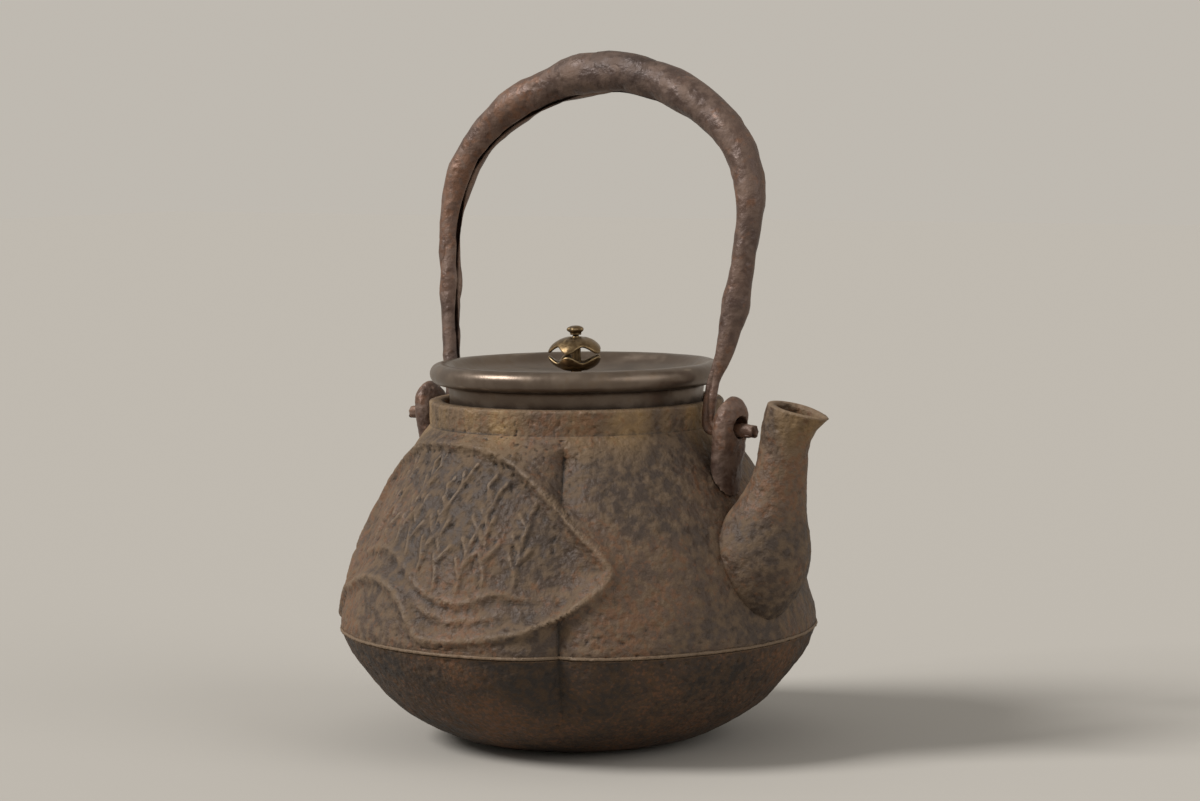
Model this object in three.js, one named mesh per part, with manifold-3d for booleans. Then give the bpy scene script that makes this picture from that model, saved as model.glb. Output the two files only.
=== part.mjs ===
// A cast-iron kettle with a hollow forged bail, a bronze lid and an openwork brass knob.
// Millimetres, +Z up, the origin at the middle of the resting face, the spout along +X.
import * as THREE from 'three';
import { mergeVertices } from 'three/addons/utils/BufferGeometryUtils.js';
import Module from 'manifold-3d';

// Clearances
const seatGap = 0.3;              // between pieces that rest on each other
const footClearance = 0.38;       // the same gap, measured along the radius on the sloping shoulder

// Body
const baseRadius = 29;
const waistRadius = 72.6;
const waistHeight = 34.6;
const neckRadius = 45;
const neckRootHeight = 96.5;
const neckTop = 104;
const wall = 3.2;
const waistFin = 0.9;             // the thin raised line round the waist
const mouthRadius = 40.4;
const ledgeRadius = 36.4;
const ledgeDepth = 4.3;           // from the lip down to the ledge that carries the lid
const ledgeThickness = 2.2;

// The three lobes of the body, parted by sharp creases
const lobeCount = 3;
const firstCleft = -58;           // degrees from the spout
const cleftDepth = 3.4;
const cleftHalfWidth = 11;        // degrees
const columnsPerLobe = 18;
const columnCrowding = 0.5;       // how much closer the columns stand at a crease

// Shape of the outline, as shares of the way from base to waist and from waist to neck
const bowlShape = [[0, 0], [0.3, 0.1], [0.64, 0.36], [0.905, 0.75], [1, 1]];
const shoulderShape = [[1, 0], [0.986, 0.087], [0.815, 0.346], [0.58, 0.588], [0.272, 0.822], [0.1, 0.945], [0, 1]];

// Raised beads on the lobe beside the spout: degrees from the spout, height
const beadRadius = 1.7;
const panelBead = [
  [-134, 49], [-143, 58], [-147, 70], [-141, 83], [-128, 91], [-112, 93.6], [-89, 93.2], [-75, 89.4],
  [-62.5, 81], [-54, 72], [-47, 63.5], [-45.4, 58.5], [-51, 51.8], [-58.4, 45.7], [-71, 41.5], [-90, 39],
  [-95.6, 42.6], [-100, 48.2], [-105.6, 52.5], [-113, 54.3], [-122.6, 53.3],
];
const leafBead = [[-132, 50], [-139, 46.5], [-144, 42], [-147, 38.4]];

// Spout
const spoutWall = 2.4;
const spoutHoleRadius = 9;
const spoutHoleHeight = 60;
const spoutColumns = 20;
// Sections from the foot of the bulb to the mouth: height, centre, half depth, half width, tilt, beak
const spoutSections = [
  [41, 66, 5, 5.5, 0, 0],
  [45, 66, 9.6, 10, 0, 0],
  [51, 66, 13.6, 13.9, 0, 0],
  [58, 66.4, 15.7, 15.7, 0, 0],
  [65, 67.2, 15, 15.3, 0, 0],
  [72, 69.4, 12.2, 12.5, 0, 0],
  [79, 72.4, 9.5, 9.7, 0.03, 0],
  [86, 74.6, 8, 8.1, 0.06, 0],
  [93, 75.7, 7.6, 7.6, 0.1, 0],
  [99, 77.2, 8, 7.5, 0.18, 0.8],
  [104.2, 79.8, 8.4, 7.5, 0.24, 3],
];

// Ears
const earCentre = 56.8;
const earHalfThickness = 4.6;
const earHalfWidth = 6.9;
const earTop = 107;
const earFoot = 76;
const earHoleHeight = 97.9;
const earHoleRadius = 3.35;
const earLean = 0.12;             // sideways run for each millimetre of height

// Bail
const hookRadius = 2.1;
const hookTip = 65.6;
const hookBend = 2.7;
const legFoot = 49.3;             // the leg's middle, beside the ear
const bailTopRadius = 7.3;
const bailSwell = 1.25;
const bailWall = 1.6;
const bailSlit = 0.5;
const bailLean = 10;              // degrees back from upright, as it stands
const bailStations = 32;
// The right half of the arch above the pivot, from the leg's foot to the crown: half width, height
const archShape = [[49.7, 12], [52.6, 26], [55.2, 42], [57.1, 60], [54.4, 77.5], [43.9, 91.5], [24.3, 103]];
const bailCrown = 108.6;

// Lid
const rimRadius = 45;
const rimTube = 3.4;
const rimHeight = 112;
const dishTop = 110.6;
const lidThickness = 2.2;
const collarRadius = 38.9;
const collarWall = 2.3;
const lidSegments = 36;

// Knob
const petalCount = 5;
const knobRadius = 8.75;
const knobCentre = 117.4;
const knobRise = 5.7;
const knobDrop = 5.4;
const petalWall = 1.2;
const petalNotch = 0.46;          // how far the edge draws back between petals, radians
const petalDent = 0.07;
const equatorGap = 0.04;          // radians
const cupColumns = 40;
const pinRadius = 1.6;
const pinHeadRadius = 3.3;
const pinHeadThickness = 1.5;
const tenonRadius = 0.75;
const washerThickness = 0.9;
const seatWasherRadius = 5.5;
const underWasherRadius = 5;
const underWasherThickness = 1.4;
const finialRadius = 2.6;
const finialTop = 126.2;

// Heights and radii that follow from the sizes above
const ledgeTop = neckTop - ledgeDepth;
const collarBottom = ledgeTop + seatGap;
const dishUnderside = dishTop - lidThickness;
const pivotHeight = earHoleHeight - (earHoleRadius - hookRadius - seatGap);
const pinBore = pinRadius + seatGap;
const pinTop = knobCentre + knobRise * Math.cos(Math.asin(pinBore / knobRadius));

const wasm = await Module();
wasm.setup();

const radians = THREE.MathUtils.degToRad;
const mix = THREE.MathUtils.lerp;

// Surfaces of rings. A ring of one point is a pole.
function signedVolume(positions, indices) {
  let total = 0;
  const corner = (i) => new THREE.Vector3().fromArray(positions, 3 * i);
  for (let i = 0; i < indices.length; i += 3) {
    total += corner(indices[i]).dot(corner(indices[i + 1]).cross(corner(indices[i + 2])));
  }
  return total;
}

function loft(rings, { closed = false, capFaces = [] } = {}) {
  const positions = [];
  const starts = rings.map((ring) => {
    const start = positions.length / 3;
    ring.forEach((point) => positions.push(point.x, point.y, point.z));
    return start;
  });
  const indices = [];
  const spans = closed ? rings.length : rings.length - 1;
  for (let i = 0; i < spans; i += 1) {
    const j = (i + 1) % rings.length;
    const count = Math.max(rings[i].length, rings[j].length);
    for (let k = 0; k < count; k += 1) {
      const next = (k + 1) % count;
      const lowerPole = rings[i].length === 1;
      const upperPole = rings[j].length === 1;
      const a = starts[i] + (lowerPole ? 0 : k);
      const b = starts[i] + (lowerPole ? 0 : next);
      const c = starts[j] + (upperPole ? 0 : next);
      const d = starts[j] + (upperPole ? 0 : k);
      if (!lowerPole) indices.push(a, b, c);
      if (!upperPole) indices.push(a, c, d);
    }
  }
  const end = starts[rings.length - 1];
  capFaces.forEach(([a, b, c]) => {
    indices.push(c, b, a);
    indices.push(end + a, end + b, end + c);
  });
  if (signedVolume(positions, indices) < 0) indices.reverse();
  const geometry = new THREE.BufferGeometry();
  geometry.setAttribute('position', new THREE.Float32BufferAttribute(positions, 3));
  geometry.setIndex(indices);
  return geometry;
}

function around(angles, place) {
  return angles.map(place);
}

function evenAngles(count) {
  return Array.from({ length: count }, (_, k) => (2 * Math.PI * k) / count);
}

function pole(height, x = 0) {
  return [new THREE.Vector3(x, 0, height)];
}

// Joining and cutting
function toSolid(geometry) {
  const bare = geometry.clone();
  bare.deleteAttribute('normal');
  bare.deleteAttribute('uv');
  const merged = mergeVertices(bare);
  return new wasm.Manifold(new wasm.Mesh({
    numProp: 3,
    vertProperties: new Float32Array(merged.attributes.position.array),
    triVerts: new Uint32Array(merged.index.array),
  }));
}

function toGeometry(solid) {
  const mesh = solid.getMesh();
  const geometry = new THREE.BufferGeometry();
  geometry.setAttribute('position', new THREE.Float32BufferAttribute(mesh.vertProperties, 3));
  geometry.setIndex(Array.from(mesh.triVerts));
  return geometry;
}

// Outline and lobes of the body
const bowlCurve = new THREE.SplineCurve(bowlShape.map(([r, z]) => (
  new THREE.Vector2(mix(baseRadius, waistRadius, r), z * waistHeight))));
const shoulderCurve = new THREE.SplineCurve(shoulderShape.map(([r, z]) => (
  new THREE.Vector2(mix(neckRadius, waistRadius, r), mix(waistHeight, neckRootHeight, z)))));
const bowlOutline = bowlCurve.getPoints(8);
const shoulderOutline = shoulderCurve.getPoints(12);

const bodyAngles = [];
for (let lobe = 0; lobe < lobeCount; lobe += 1) {
  for (let k = 0; k < columnsPerLobe; k += 1) {
    const t = k / columnsPerLobe;
    const share = t - (columnCrowding * Math.sin(2 * Math.PI * t)) / (2 * Math.PI);
    bodyAngles.push(radians(firstCleft + ((lobe + share) * 360) / lobeCount));
  }
}

function cleftAt(angle, height) {
  const spacing = 360 / lobeCount;
  const turn = THREE.MathUtils.euclideanModulo(THREE.MathUtils.radToDeg(angle) - firstCleft, spacing);
  const away = Math.min(turn, spacing - turn) / cleftHalfWidth;
  const rise = THREE.MathUtils.smoothstep(height, 2, 0.8 * waistHeight);
  const fade = 1 - THREE.MathUtils.smoothstep(height, neckRootHeight - 9, neckRootHeight - 1);
  return cleftDepth * rise * fade * Math.max(0, 1 - away) ** 2;
}

function bodyRing(radius, height) {
  return around(bodyAngles, (angle) => {
    const reach = radius - cleftAt(angle, height);
    return new THREE.Vector3(reach * Math.cos(angle), reach * Math.sin(angle), height);
  });
}

// The body's outer form as one filled solid, grown by a clearance
function bodyEnvelope(grow) {
  const rings = shoulderOutline.map((p) => bodyRing(p.x + grow, p.y));
  return toSolid(loft([pole(waistHeight), ...rings, pole(neckRootHeight)]));
}

function outlineRadius(height) {
  const above = shoulderOutline.findIndex((p) => p.y >= height);
  const [low, high] = [shoulderOutline[Math.max(above - 1, 0)], shoulderOutline[Math.max(above, 1)]];
  return mix(low.x, high.x, (height - low.y) / (high.y - low.y));
}

// A raised bead that follows the body's surface, half sunk into it
function bead(route, closed) {
  const onSurface = route.map(([degrees, height]) => {
    const angle = radians(degrees);
    const reach = outlineRadius(height) - cleftAt(angle, height) / 2;
    return new THREE.Vector3(reach * Math.cos(angle), reach * Math.sin(angle), height);
  });
  const curve = new THREE.CatmullRomCurve3(onSurface, closed);
  const steps = 3 * route.length;
  const count = closed ? steps : steps + 1;
  const rings = Array.from({ length: count }, (_, k) => {
    const along = curve.getTangent(k / steps);
    const centre = curve.getPoint(k / steps);
    const out = new THREE.Vector3(centre.x, centre.y, 0).normalize();
    const side = new THREE.Vector3().crossVectors(along, out).normalize();
    return evenAngles(6).map((angle) => centre.clone()
      .addScaledVector(out, beadRadius * Math.cos(angle))
      .addScaledVector(side, beadRadius * Math.sin(angle)));
  });
  if (closed) return toSolid(loft(rings, { closed }));
  const ends = [curve.getPoint(0), curve.getPoint(1)];
  return toSolid(loft([[ends[0]], ...rings, [ends[1]]]));
}

function crossBore(radius, fromX, toX, height) {
  const bore = new THREE.CylinderGeometry(radius, radius, Math.abs(toX - fromX), 20);
  bore.rotateZ(Math.PI / 2);
  bore.translate((fromX + toX) / 2, 0, height);
  return toSolid(bore);
}

function makeShell() {
  const outer = shoulderOutline.slice(1).map((p) => bodyRing(p.x, p.y));
  const inner = shoulderOutline.slice(0, -2).filter((_, i) => i % 2 === 0).reverse();
  const lip = 0.9;
  const rings = [
    bodyRing(waistRadius + waistFin, waistHeight),
    bodyRing(waistRadius + waistFin, waistHeight + waistFin),
    bodyRing(waistRadius, waistHeight + 2 * waistFin),
    ...outer,
    bodyRing(neckRadius, neckTop - lip),
    bodyRing(neckRadius - lip, neckTop),
    bodyRing(mouthRadius + lip, neckTop),
    bodyRing(mouthRadius, neckTop - lip),
    bodyRing(mouthRadius, ledgeTop),
    bodyRing(ledgeRadius, ledgeTop),
    bodyRing(ledgeRadius, ledgeTop - ledgeThickness),
    ...inner.map((p) => bodyRing(p.x - wall, p.y)),
  ];
  const solid = toSolid(loft(rings, { closed: true }));
  return toGeometry(solid
    .add(bead(panelBead, true))
    .add(bead(leafBead, false))
    .subtract(crossBore(spoutHoleRadius, mouthRadius, waistRadius, spoutHoleHeight)));
}

function makeBowl() {
  const top = waistHeight - seatGap;
  const outer = bowlOutline.slice(0, -1).map((p) => bodyRing(p.x, p.y));
  const inner = bowlOutline.slice(0, -1).reverse().map((p) => bodyRing(p.x - wall, p.y + 0.8 * wall));
  return loft([
    pole(0),
    ...outer,
    bodyRing(waistRadius, top),
    bodyRing(waistRadius - wall, top),
    ...inner,
    pole(0.8 * wall),
  ]);
}

function spoutRing([height, centre, depth, width, tilt, beak], thinner, lift = 0) {
  return around(evenAngles(spoutColumns), (angle) => {
    const forward = Math.cos(angle);
    const reach = (depth - thinner) * forward + beak * Math.max(0, forward) ** 4;
    const x = centre + reach;
    return new THREE.Vector3(x, (width - thinner) * Math.sin(angle), height + lift - tilt * reach);
  });
}

function makeSpout() {
  const first = spoutSections[0];
  const last = spoutSections.at(-1);
  const hollow = spoutSections.slice(1);
  const outer = loft([pole(first[0] - 1, first[1]), ...spoutSections.map((s) => spoutRing(s, 0)),
    pole(last[0], last[1])]);
  const bore = loft([pole(hollow[0][0], hollow[0][1]), ...hollow.map((s) => spoutRing(s, spoutWall)),
    spoutRing(last, spoutWall, 4), pole(last[0] + 4, last[1])]);
  return toGeometry(toSolid(outer).subtract(toSolid(bore)).subtract(bodyEnvelope(footClearance)));
}

function makeEar(turn) {
  const shares = [0, 0.3, 0.6, 0.78, 0.9, 0.97];
  const columns = evenAngles(18);
  const rise = earTop - earHoleHeight;
  const section = (height, size) => around(columns, (angle) => new THREE.Vector3(
    earCentre + earLean * (height - earHoleHeight) + earHalfThickness * size * Math.cos(angle),
    earHalfWidth * size * Math.sin(angle),
    height,
  ));
  const neckShare = 0.78;
  const foot = [earFoot, (earFoot + earHoleHeight) / 2].map((height) => (
    section(height, mix(neckShare, 1, (height - earFoot) / (earHoleHeight - earFoot)))));
  const dome = shares.map((s) => section(earHoleHeight + s * rise, Math.sqrt(1 - s * s)));
  const body = loft([pole(earFoot, earCentre + earLean * (earFoot - earHoleHeight)), ...foot, ...dome,
    pole(earTop, earCentre + earLean * rise)]);
  body.rotateZ(turn);
  const side = Math.cos(turn);
  const hole = crossBore(earHoleRadius, side * neckRadius, side * hookTip, earHoleHeight);
  return toGeometry(toSolid(body).subtract(hole).subtract(bodyEnvelope(footClearance)));
}

// The bail's path: right hook tip, bend, leg, crown, leg, bend, left hook tip
function bailPath() {
  const stations = [];
  const half = [];
  const bendCentre = legFoot + hookBend;
  half.push({ x: hookTip, h: 0, tx: -1, th: 0, share: 0 });
  half.push({ x: (hookTip + bendCentre) / 2, h: 0, tx: -1, th: 0, share: 0 });
  for (let k = 0; k < 4; k += 1) {
    const angle = radians(270 - k * 22.5);
    half.push({
      x: bendCentre + hookBend * Math.cos(angle),
      h: hookBend + hookBend * Math.sin(angle),
      tx: Math.sin(angle),
      th: -Math.cos(angle),
      share: 0,
    });
  }
  const right = [[legFoot, hookBend], ...archShape];
  const left = right.map(([x, h]) => [-x, h]).reverse();
  const arch = new THREE.SplineCurve([...right, [0, bailCrown], ...left].map(([x, h]) => (
    new THREE.Vector2(x, h))));
  for (let k = 0; k <= bailStations; k += 1) {
    const u = k / bailStations;
    const point = arch.getPoint(u);
    const tangent = arch.getTangent(u);
    stations.push({ x: point.x, h: point.y, tx: tangent.x, th: tangent.y, share: 1 - Math.abs(2 * u - 1) });
  }
  const mirrored = half.map((s) => ({ ...s, x: -s.x, tx: s.tx, th: -s.th })).reverse();
  return [...half, ...stations, ...mirrored];
}

// The section is a rolled sheet whose edges almost meet along the inner side
function bailSection(share) {
  const outerCount = 13;
  const innerCount = 9;
  const radius = hookRadius + (bailTopRadius - hookRadius) * share ** bailSwell;
  const open = THREE.MathUtils.smoothstep(share, 0.12, 0.3);
  const bore = mix(0.35, radius - bailWall, open);
  const offset = mix(radius - 0.55, 0, open);
  const slit = mix(0.15, bailSlit, open);
  const points = [];
  const outerStart = Math.asin(slit / radius);
  for (let k = 0; k < outerCount; k += 1) {
    const angle = mix(outerStart, 2 * Math.PI - outerStart, k / (outerCount - 1));
    points.push(new THREE.Vector2(radius * Math.cos(angle), radius * Math.sin(angle)));
  }
  const innerStart = Math.asin(slit / bore);
  for (let k = 0; k < innerCount; k += 1) {
    const angle = mix(2 * Math.PI - innerStart, innerStart, k / (innerCount - 1));
    points.push(new THREE.Vector2(offset + bore * Math.cos(angle), bore * Math.sin(angle)));
  }
  return points;
}

function makeBail() {
  const rings = bailPath().map(({ x, h, tx, th, share }) => {
    const inward = new THREE.Vector2(-th, tx).multiplyScalar(1 / Math.hypot(tx, th));
    return bailSection(share).map((p) => new THREE.Vector3(x + inward.x * p.x, p.y, h + inward.y * p.x));
  });
  const contour = bailSection(0);
  const turning = Math.sign(THREE.ShapeUtils.area(contour));
  const capFaces = THREE.ShapeUtils.triangulateShape(contour, []).map((face) => {
    const [a, b, c] = face.map((i) => contour[i]);
    const area = (b.x - a.x) * (c.y - a.y) - (c.x - a.x) * (b.y - a.y);
    return Math.sign(area) === turning ? face : [...face].reverse();
  });
  return loft(rings, { capFaces });
}

function turned(profile, segments) {
  const geometry = new THREE.LatheGeometry(profile.map(([r, z]) => new THREE.Vector2(r, z)), segments);
  geometry.rotateX(Math.PI / 2);
  return geometry;
}

function makeLid() {
  const rimCentre = rimRadius - rimTube;
  const rim = [];
  for (let k = 0; k <= 8; k += 1) {
    const angle = radians(mix(145, -110, k / 8));
    rim.push([rimCentre + rimTube * Math.cos(angle), rimHeight + rimTube * Math.sin(angle)]);
  }
  const profile = [
    [pinBore, dishTop],
    [0.4 * rimCentre, dishTop - 0.2],
    [0.72 * rimCentre, dishTop + 0.1],
    [0.88 * rimCentre, dishTop + 1.1],
    ...rim,
    [collarRadius, dishUnderside + 0.2],
    [collarRadius, collarBottom],
    [collarRadius - collarWall, collarBottom],
    [collarRadius - collarWall, dishUnderside - 0.6],
    [0.72 * rimCentre, dishUnderside - 0.1],
    [0.4 * rimCentre, dishUnderside - 0.2],
    [pinBore, dishUnderside],
    [pinBore, dishTop],
  ];
  return turned(profile.reverse(), lidSegments);
}

function washer(outerRadius, thickness, bottom) {
  return turned([
    [pinBore, bottom],
    [outerRadius, bottom],
    [outerRadius, bottom + 0.7 * thickness],
    [outerRadius - 0.3 * thickness, bottom + thickness],
    [pinBore, bottom + thickness],
    [pinBore, bottom],
  ], 24);
}

function petalCup(direction, height) {
  const ring = (radius, rise, share) => around(evenAngles(cupColumns), (angle) => {
    const valley = 0.5 - 0.5 * Math.cos(petalCount * angle);
    const poleAngle = Math.asin(pinBore / radius);
    const edgeAngle = Math.PI / 2 - equatorGap - petalNotch * valley;
    const polar = mix(poleAngle, edgeAngle, share);
    const reach = radius * Math.sin(polar) * (1 - petalDent * valley * share);
    return new THREE.Vector3(
      reach * Math.cos(angle),
      reach * Math.sin(angle),
      knobCentre + direction * rise * Math.cos(polar),
    );
  });
  const outer = [0, 0.3, 0.6, 0.85, 1].map((share) => ring(knobRadius, height, share));
  const inner = [1, 0.6, 0.3, 0].map((share) => ring(knobRadius - petalWall, height - petalWall, share));
  return loft([...outer, ...inner], { closed: true });
}

function makePin() {
  const headTop = dishUnderside - underWasherThickness - 2 * seatGap;
  const headBottom = headTop - pinHeadThickness;
  return turned([
    [0, headBottom],
    [0.8 * pinHeadRadius, headBottom],
    [pinHeadRadius, headBottom + 0.6],
    [pinHeadRadius, headTop],
    [pinRadius, headTop],
    [pinRadius, pinTop],
    [tenonRadius, pinTop],
    [tenonRadius, finialTop - 1.9],
    [0, finialTop - 1.9],
  ], 20);
}

function makeFinial() {
  const bottom = pinTop + seatGap;
  const bore = tenonRadius + seatGap;
  const columns = evenAngles(30);
  const ring = (radius, height, lobed) => around(columns, (angle) => {
    const reach = radius * (1 + lobed * Math.cos(petalCount * angle));
    return new THREE.Vector3(reach * Math.cos(angle), reach * Math.sin(angle), height);
  });
  return loft([
    pole(finialTop - 1.6),
    ring(bore, finialTop - 1.6, 0),
    ring(bore, bottom, 0),
    ring(1.9, bottom, 0),
    ring(1.6, bottom + 0.8, 0),
    ring(finialRadius, finialTop - 1.7, 0.13),
    ring(finialRadius, finialTop - 0.8, 0.13),
    ring(0.55 * finialRadius, finialTop - 0.15, 0.08),
    pole(finialTop),
  ]);
}

function piece(name, geometry, color, roughness, metalness) {
  const material = new THREE.MeshStandardMaterial({ color, roughness, metalness });
  const mesh = new THREE.Mesh(geometry, material);
  mesh.name = name;
  return mesh;
}

const kettle = new THREE.Group();

const vessel = new THREE.Group();
vessel.add(piece('body_shell', makeShell(), '#54402f', 0.85, 0.35));
vessel.add(piece('bottom_bowl', makeBowl(), '#3d2d22', 0.88, 0.35));
vessel.add(piece('spout', makeSpout(), '#5a4636', 0.82, 0.35));
vessel.add(piece('ear_front', makeEar(0), '#5c4436', 0.7, 0.45));
vessel.add(piece('ear_rear', makeEar(Math.PI), '#5c4436', 0.7, 0.45));
kettle.add(vessel);

const handle = new THREE.Group();
handle.position.z = pivotHeight;
handle.rotation.x = -radians(bailLean);
handle.add(piece('bail', makeBail(), '#5e463c', 0.6, 0.55));
kettle.add(handle);

const lid = new THREE.Group();
lid.add(piece('lid_plate', makeLid(), '#63523f', 0.5, 0.75));
lid.add(piece('under_lid_washer', washer(underWasherRadius, underWasherThickness,
  dishUnderside - seatGap - underWasherThickness), '#7a6340', 0.5, 0.8));
lid.add(piece('knob_seat_washer', washer(seatWasherRadius, washerThickness, dishTop + seatGap),
  '#7a6340', 0.5, 0.8));

const knob = new THREE.Group();
knob.add(piece('knob_lower_petals', petalCup(-1, knobDrop), '#8a6c40', 0.42, 0.85));
knob.add(piece('knob_upper_petals', petalCup(1, knobRise), '#8a6c40', 0.42, 0.85));
knob.add(piece('knob_finial', makeFinial(), '#6f5a3a', 0.5, 0.8));
knob.add(piece('knob_pin', makePin(), '#7a6340', 0.5, 0.8));
lid.add(knob);
kettle.add(lid);

export default kettle;
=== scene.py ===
import math

import bmesh
import bpy
import numpy as np
from mathutils import Matrix, Vector, noise


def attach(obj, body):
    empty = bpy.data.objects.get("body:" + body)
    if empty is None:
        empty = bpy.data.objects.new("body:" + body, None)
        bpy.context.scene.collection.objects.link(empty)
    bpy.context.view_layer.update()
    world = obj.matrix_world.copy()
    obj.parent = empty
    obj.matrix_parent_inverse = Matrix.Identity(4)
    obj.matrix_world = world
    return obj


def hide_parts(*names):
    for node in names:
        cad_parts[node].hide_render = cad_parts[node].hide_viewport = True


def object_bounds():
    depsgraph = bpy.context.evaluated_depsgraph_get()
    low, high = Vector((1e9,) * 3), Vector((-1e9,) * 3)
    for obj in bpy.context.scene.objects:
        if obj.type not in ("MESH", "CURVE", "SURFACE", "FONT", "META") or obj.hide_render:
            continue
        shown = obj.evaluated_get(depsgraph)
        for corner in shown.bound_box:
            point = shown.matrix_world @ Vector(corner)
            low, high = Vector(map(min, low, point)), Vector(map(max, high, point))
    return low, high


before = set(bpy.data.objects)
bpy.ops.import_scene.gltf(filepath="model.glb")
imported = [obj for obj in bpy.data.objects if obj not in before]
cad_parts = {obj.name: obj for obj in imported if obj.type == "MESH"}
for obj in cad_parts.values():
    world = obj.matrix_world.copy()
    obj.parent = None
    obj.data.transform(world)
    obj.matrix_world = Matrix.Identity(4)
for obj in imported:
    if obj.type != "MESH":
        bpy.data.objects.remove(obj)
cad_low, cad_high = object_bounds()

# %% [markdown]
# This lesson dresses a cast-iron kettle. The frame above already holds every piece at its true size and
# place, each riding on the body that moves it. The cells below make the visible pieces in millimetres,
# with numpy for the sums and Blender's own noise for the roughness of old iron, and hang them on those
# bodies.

MM = 0.001

# %% [markdown]
# The camera comes first, because every later choice is judged from it. The photograph was taken with a
# long lens from a little above the lid, 37 degrees round from the kettle's broad side towards the spout.
# The direction, the distance and the small roll were found from the ellipses of lid, waist and base.

# %% Camera
IMAGE_WIDTH, IMAGE_HEIGHT = 1200, 801
FOCAL_PIXELS = 3388
SENSOR = 36
VIEW_ANGLE = math.radians(37)
CAMERA_DISTANCE = 1.03
CAMERA_HEIGHT = 0.192
AIM_HEIGHT = 0.112
AIM_PIXEL = Vector((576.5, 371.5))
ROLL = math.radians(0.6)


def level_axes(forward):
    """Right and up for a level camera that looks along forward."""
    right = forward.cross(Vector((0, 0, 1))).normalized()
    return right, right.cross(forward)


def camera_axes(place):
    """Turn the camera until the aim point falls on its own pixel, then roll it."""
    shift = AIM_PIXEL - Vector((IMAGE_WIDTH / 2, IMAGE_HEIGHT / 2))
    forward = (Vector((0, 0, AIM_HEIGHT)) - place).normalized()
    right, up = level_axes(forward)
    forward = (forward - right * shift.x / FOCAL_PIXELS + up * shift.y / FOCAL_PIXELS).normalized()
    right, up = level_axes(forward)
    rolled_right = right * math.cos(ROLL) - up * math.sin(ROLL)
    rolled_up = right * math.sin(ROLL) + up * math.cos(ROLL)
    return Matrix((rolled_right, rolled_up, -forward)).transposed()


def make_camera():
    place = Vector((math.sin(VIEW_ANGLE), -math.cos(VIEW_ANGLE), 0)) * CAMERA_DISTANCE
    place.z = CAMERA_HEIGHT
    data = bpy.data.cameras.new("studio_camera")
    data.sensor_width = SENSOR
    data.lens = FOCAL_PIXELS / IMAGE_WIDTH * SENSOR
    camera = bpy.data.objects.new("studio_camera", data)
    camera.matrix_world = Matrix.Translation(place) @ camera_axes(place).to_4x4()
    bpy.context.scene.collection.objects.link(camera)
    bpy.context.scene.camera = camera
    print("lens in mm:", round(data.lens, 2))


make_camera()

# %% [markdown]
# The kettle stands on a plain pale floor that only has to take its shadow. A matt plane is enough, and
# with no shine of its own it stays the same tone all the way back to the horizon.

# %% Floor
FLOOR_SIZE = 8
FLOOR_COLOUR = (0.47, 0.44, 0.395)
FLOOR_ROUGHNESS = 0.9


def make_floor():
    bpy.ops.mesh.primitive_plane_add(size=FLOOR_SIZE)
    floor = bpy.context.object
    floor.name = "floor"
    material = bpy.data.materials.new("floor_paper")
    material.use_nodes = True
    shader = material.node_tree.nodes["Principled BSDF"]
    shader.inputs["Base Color"].default_value = (*FLOOR_COLOUR, 1)
    shader.inputs["Roughness"].default_value = FLOOR_ROUGHNESS
    shader.inputs["Specular IOR Level"].default_value = 0
    floor.data.materials.append(material)
    print("floor in metres:", FLOOR_SIZE)


make_floor()

# %% [markdown]
# Two broad suns light it: a key from the left of the camera, and a weaker one from the right. A wide
# angle gives a sun soft shadows, and its light is equal everywhere, so lamps need no placing. Area lamps
# would work too, but they fall off with distance.

# %% Lamps
# Name, strength, turn about x, y and z in degrees, angle in degrees
SUNS = [("key", 2.9, (50, 0, -38), 22), ("side", 0.7, (62, 0, 92), 40)]


def make_suns():
    for name, strength, turn, angle in SUNS:
        data = bpy.data.lights.new(name, "SUN")
        data.energy = strength
        data.angle = math.radians(angle)
        lamp = bpy.data.objects.new(name, data)
        lamp.rotation_euler = [math.radians(a) for a in turn]
        bpy.context.scene.collection.objects.link(lamp)
    print("lamps:", len(SUNS))


make_suns()

# %% [markdown]
# A weak world fills the shadows. The camera and mirror-like rays see a paler backdrop instead, so the
# picture can be pale without putting more light on the kettle. The backdrop has the floor's colour times
# the light that falls on the floor, and so the horizon almost disappears.

# %% World
WORLD_COLOUR = (1, 0.98, 0.95)
WORLD_LIGHT = 0.42
FLOOR_LIGHT = 1.11


def make_world():
    world = bpy.data.worlds.new("studio")
    bpy.context.scene.world = world
    bpy.context.scene.view_settings.view_transform = "Standard"
    world.use_nodes = True
    nodes, links = world.node_tree.nodes, world.node_tree.links
    fill = nodes["Background"]
    fill.inputs["Color"].default_value = (*WORLD_COLOUR, 1)
    fill.inputs["Strength"].default_value = WORLD_LIGHT
    backdrop = nodes.new("ShaderNodeBackground")
    backdrop.inputs["Color"].default_value = (*[c * FLOOR_LIGHT for c in FLOOR_COLOUR], 1)
    path = nodes.new("ShaderNodeLightPath")
    seen = nodes.new("ShaderNodeMath")
    seen.operation = "MAXIMUM"
    links.new(path.outputs["Is Camera Ray"], seen.inputs[0])
    links.new(path.outputs["Is Glossy Ray"], seen.inputs[1])
    mix = nodes.new("ShaderNodeMixShader")
    links.new(seen.outputs[0], mix.inputs[0])
    links.new(fill.outputs[0], mix.inputs[1])
    links.new(backdrop.outputs[0], mix.inputs[2])
    links.new(mix.outputs[0], nodes["World Output"].inputs["Surface"])
    print("world light:", WORLD_LIGHT)


make_world()

# %% [markdown]
# Old iron is never one colour, and the same effects come back on every metal here. Each is built once as
# a shader group, which gives only masks and heights, and the shader itself stays in the material. These
# helpers shorten the making of groups and nodes.

# %% Helpers for nodes


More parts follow.
